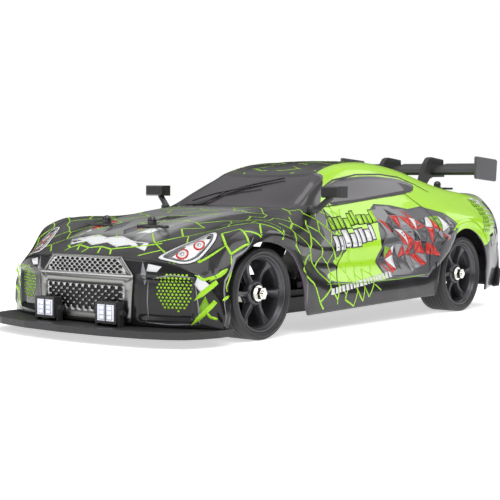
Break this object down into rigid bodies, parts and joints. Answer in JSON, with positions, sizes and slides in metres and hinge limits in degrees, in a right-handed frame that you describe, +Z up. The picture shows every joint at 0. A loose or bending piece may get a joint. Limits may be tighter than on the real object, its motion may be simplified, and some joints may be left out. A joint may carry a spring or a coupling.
{
  "type": "radio-controlled drift car",
  "caption": "Radio-controlled drift car with a painted touring-car shell, rear wing, front splitter, steerable front wheels, independent suspension and a shaft drive to all wheels.",
  "frame": {"origin": "on the ground, under the middle of the overall bounding box", "axes": "+X forward, +Y to the driver's left, +Z up"},
  "size_m": [0.448, 0.1952, 0.1255],
  "materials": {
    "carbon_black": "satin composite plate",
    "black_plastic": "moulded nylon, satin",
    "foam": "closed-cell bumper foam",
    "battery_wrap": "shrink-wrapped cells",
    "strap": "woven strap",
    "painted_lexan": "polycarbonate painted from inside, gloss",
    "grey_satin": "satin dark grey",
    "wing_grey": "semi-gloss dark grey",
    "lens": "clear lens",
    "steel": "plated steel",
    "can": "satin can",
    "lead": "silicone insulation",
    "white_nylon": "moulded nylon",
    "gear_metal": "machined steel",
    "alloy": "anodised dark",
    "spring_wire": "coated spring wire",
    "tyre_plastic": "hard drift tyre, satin",
    "rim_plastic": "dark chrome-look plastic, satin"
  },
  "bodies": {
    "chassis": {"chassis_plate": "carbon_black", "gearbox_cases": "black_plastic", "shock_towers": "carbon_black", "front_bumper_foam": "foam", "battery_pack": "battery_wrap", "battery_strap": "strap", "steering_servo": "black_plastic", "esc_receiver": "black_plastic", "motor_can": "can", "body_posts": "black_plastic", "body_clips": "steel", "body_shell": "painted_lexan", "front_splitter": "grey_satin", "wing_blade": "wing_grey", "wing_end_plates": "wing_grey", "wing_stays": "grey_satin", "door_mirrors": "grey_satin", "lamp_housings": "black_plastic", "lamp_lenses": "lens", "screws": "steel", "cables": "lead"},
    "rack": {"steering_rack": "black_plastic"},
    "horn": {"servo_horn": "white_nylon"},
    "drive_line": {"centre_shaft": "gear_metal", "spur_gear": "white_nylon"},
    "pinion": {"motor_pinion": "gear_metal"},
    "spool_front": {"front_spool": "gear_metal"},
    "spool_rear": {"rear_spool": "gear_metal"},
    "knuckle_left": {"steering_knuckle_left": "black_plastic"},
    "drive_shaft_left": {"drive_shaft_front_left": "gear_metal"},
    "arm_front_left": {"arm_front_left": "black_plastic"},
    "shock_front_left": {"shock_body_front_left": "alloy", "shock_spring_front_left": "spring_wire"},
    "rod_front_left": {"shock_rod_front_left": "steel"},
    "wheel_front_left": {"tyre_front_left": "tyre_plastic", "rim_front_left": "rim_plastic", "wheel_axle_front_left": "steel"},
    "arm_rear_left": {"arm_rear_left": "black_plastic"},
    "shock_rear_left": {"shock_body_rear_left": "alloy", "shock_spring_rear_left": "spring_wire"},
    "rod_rear_left": {"shock_rod_rear_left": "steel"},
    "wheel_rear_left": {"tyre_rear_left": "tyre_plastic", "rim_rear_left": "rim_plastic", "wheel_axle_rear_left": "steel"},
    "knuckle_right": {"steering_knuckle_right": "black_plastic"},
    "drive_shaft_right": {"drive_shaft_front_right": "gear_metal"},
    "arm_front_right": {"arm_front_right": "black_plastic"},
    "shock_front_right": {"shock_body_front_right": "alloy", "shock_spring_front_right": "spring_wire"},
    "rod_front_right": {"shock_rod_front_right": "steel"},
    "wheel_front_right": {"tyre_front_right": "tyre_plastic", "rim_front_right": "rim_plastic", "wheel_axle_front_right": "steel"},
    "arm_rear_right": {"arm_rear_right": "black_plastic"},
    "shock_rear_right": {"shock_body_rear_right": "alloy", "shock_spring_rear_right": "spring_wire"},
    "rod_rear_right": {"shock_rod_rear_right": "steel"},
    "wheel_rear_right": {"tyre_rear_right": "tyre_plastic", "rim_rear_right": "rim_plastic", "wheel_axle_rear_right": "steel"}
  },
  "joints": [
    {"name": "suspension_front_left", "type": "hinge", "parent": "chassis", "child": "arm_front_left", "pos_m": [0.1345, 0.022, 0.03], "axis": [1, 0, 0], "range_deg": [-4, 4], "stiffness_Nm_per_rad": 3.8, "springref_deg": -2.41},
    {"name": "shock_swing_front_left", "type": "hinge", "parent": "chassis", "child": "shock_front_left", "pos_m": [0.1585, 0.03, 0.061], "axis": [1, 0, 0], "range_deg": [-1.9, 1.9]},
    {"name": "shock_stroke_front_left", "type": "slide", "parent": "shock_front_left", "child": "rod_front_left", "axis": [0, 0.383, -0.9237], "range_m": [-0.0015, 0.0015], "deforming": ["shock_spring_front_left"]},
    {"name": "suspension_front_right", "type": "hinge", "parent": "chassis", "child": "arm_front_right", "pos_m": [0.1345, -0.022, 0.03], "axis": [-1, 0, 0], "range_deg": [-4, 4], "stiffness_Nm_per_rad": 3.8, "springref_deg": -2.41},
    {"name": "shock_swing_front_right", "type": "hinge", "parent": "chassis", "child": "shock_front_right", "pos_m": [0.1585, -0.03, 0.061], "axis": [-1, 0, 0], "range_deg": [-1.9, 1.9]},
    {"name": "shock_stroke_front_right", "type": "slide", "parent": "shock_front_right", "child": "rod_front_right", "axis": [0, -0.383, -0.9237], "range_m": [-0.0015, 0.0015], "deforming": ["shock_spring_front_right"]},
    {"name": "suspension_rear_left", "type": "hinge", "parent": "chassis", "child": "arm_rear_left", "pos_m": [-0.1225, 0.022, 0.03], "axis": [1, 0, 0], "range_deg": [-4, 4], "stiffness_Nm_per_rad": 3.8, "springref_deg": -2.41},
    {"name": "shock_swing_rear_left", "type": "hinge", "parent": "chassis", "child": "shock_rear_left", "pos_m": [-0.1465, 0.03, 0.061], "axis": [1, 0, 0], "range_deg": [-1.9, 1.9]},
    {"name": "shock_stroke_rear_left", "type": "slide", "parent": "shock_rear_left", "child": "rod_rear_left", "axis": [0, 0.383, -0.9237], "range_m": [-0.0015, 0.0015], "deforming": ["shock_spring_rear_left"]},
    {"name": "suspension_rear_right", "type": "hinge", "parent": "chassis", "child": "arm_rear_right", "pos_m": [-0.1225, -0.022, 0.03], "axis": [-1, 0, 0], "range_deg": [-4, 4], "stiffness_Nm_per_rad": 3.8, "springref_deg": -2.41},
    {"name": "shock_swing_rear_right", "type": "hinge", "parent": "chassis", "child": "shock_rear_right", "pos_m": [-0.1465, -0.03, 0.061], "axis": [-1, 0, 0], "range_deg": [-1.9, 1.9]},
    {"name": "shock_stroke_rear_right", "type": "slide", "parent": "shock_rear_right", "child": "rod_rear_right", "axis": [0, -0.383, -0.9237], "range_m": [-0.0015, 0.0015], "deforming": ["shock_spring_rear_right"]},
    {"name": "steer_left", "type": "hinge", "parent": "arm_front_left", "child": "knuckle_left", "pos_m": [0.1345, 0.06, 0.03], "axis": [0, 0, 1], "range_deg": [-25, 25]},
    {"name": "steer_right", "type": "hinge", "parent": "arm_front_right", "child": "knuckle_right", "pos_m": [0.1345, -0.06, 0.03], "axis": [0, 0, 1], "range_deg": [-25, 25]},
    {"name": "rack_travel", "type": "slide", "parent": "chassis", "child": "rack", "axis": [0, 1, 0], "range_m": [-0.0096, 0.0096]},
    {"name": "servo_turn", "type": "hinge", "parent": "chassis", "child": "horn", "pos_m": [0.0905, 0.014, 0.0405], "axis": [0, 0, 1], "range_deg": [-25.5, 25.5]},
    {"name": "wheel_spin_rear_left", "type": "hinge", "parent": "arm_rear_left", "child": "wheel_rear_left", "pos_m": [-0.1225, 0.081, 0.03], "axis": [0, 1, 0], "continuous": true},
    {"name": "wheel_spin_rear_right", "type": "hinge", "parent": "arm_rear_right", "child": "wheel_rear_right", "pos_m": [-0.1225, -0.081, 0.03], "axis": [0, 1, 0], "continuous": true},
    {"name": "wheel_spin_front_left", "type": "hinge", "parent": "knuckle_left", "child": "wheel_front_left", "pos_m": [0.1345, 0.081, 0.03], "axis": [0, 1, 0], "continuous": true},
    {"name": "wheel_spin_front_right", "type": "hinge", "parent": "knuckle_right", "child": "wheel_front_right", "pos_m": [0.1345, -0.081, 0.03], "axis": [0, 1, 0], "continuous": true},
    {"name": "drive_shaft_spin_left", "type": "hinge", "parent": "arm_front_left", "child": "drive_shaft_left", "pos_m": [0.1345, 0.041, 0.03], "axis": [0, 1, 0], "continuous": true},
    {"name": "drive_shaft_spin_right", "type": "hinge", "parent": "arm_front_right", "child": "drive_shaft_right", "pos_m": [0.1345, -0.041, 0.03], "axis": [0, 1, 0], "continuous": true},
    {"name": "spool_spin_front", "type": "hinge", "parent": "chassis", "child": "spool_front", "pos_m": [0.1345, 0, 0.03], "axis": [0, 1, 0], "continuous": true},
    {"name": "spool_spin_rear", "type": "hinge", "parent": "chassis", "child": "spool_rear", "pos_m": [-0.1225, 0, 0.03], "axis": [0, 1, 0], "continuous": true},
    {"name": "drive_line_spin", "type": "hinge", "parent": "chassis", "child": "drive_line", "pos_m": [0, 0, 0.03], "axis": [1, 0, 0], "continuous": true},
    {"name": "motor_spin", "type": "hinge", "parent": "chassis", "child": "pinion", "pos_m": [-0.024, 0.0216, 0.03], "axis": [1, 0, 0], "continuous": true}
  ],
  "couplings": [
    {"joint": "shock_swing_front_left", "follows": "suspension_front_left", "ratio": 0.42386},
    {"joint": "shock_stroke_front_left", "follows": "suspension_front_left", "m_per_rad": -0.019263},
    {"joint": "shock_swing_front_right", "follows": "suspension_front_right", "ratio": 0.42386},
    {"joint": "shock_stroke_front_right", "follows": "suspension_front_right", "m_per_rad": -0.019263},
    {"joint": "shock_swing_rear_left", "follows": "suspension_rear_left", "ratio": 0.42386},
    {"joint": "shock_stroke_rear_left", "follows": "suspension_rear_left", "m_per_rad": -0.019263},
    {"joint": "shock_swing_rear_right", "follows": "suspension_rear_right", "ratio": 0.42386},
    {"joint": "shock_stroke_rear_right", "follows": "suspension_rear_right", "m_per_rad": -0.019263},
    {"joint": "steer_right", "follows": "steer_left", "ratio": 1},
    {"joint": "rack_travel", "follows": "steer_left", "m_per_rad": -0.02157},
    {"joint": "servo_turn", "follows": "steer_left", "ratio": -1},
    {"joint": "wheel_spin_rear_right", "follows": "wheel_spin_rear_left", "ratio": 1},
    {"joint": "wheel_spin_front_left", "follows": "wheel_spin_rear_left", "ratio": 1},
    {"joint": "wheel_spin_front_right", "follows": "wheel_spin_rear_left", "ratio": 1},
    {"joint": "drive_shaft_spin_left", "follows": "wheel_spin_rear_left", "ratio": 1},
    {"joint": "drive_shaft_spin_right", "follows": "wheel_spin_rear_left", "ratio": 1},
    {"joint": "spool_spin_front", "follows": "wheel_spin_rear_left", "ratio": 1},
    {"joint": "spool_spin_rear", "follows": "wheel_spin_rear_left", "ratio": 1},
    {"joint": "drive_line_spin", "follows": "wheel_spin_rear_left", "ratio": 2.5},
    {"joint": "motor_spin", "follows": "wheel_spin_rear_left", "ratio": -7.5}
  ]
}
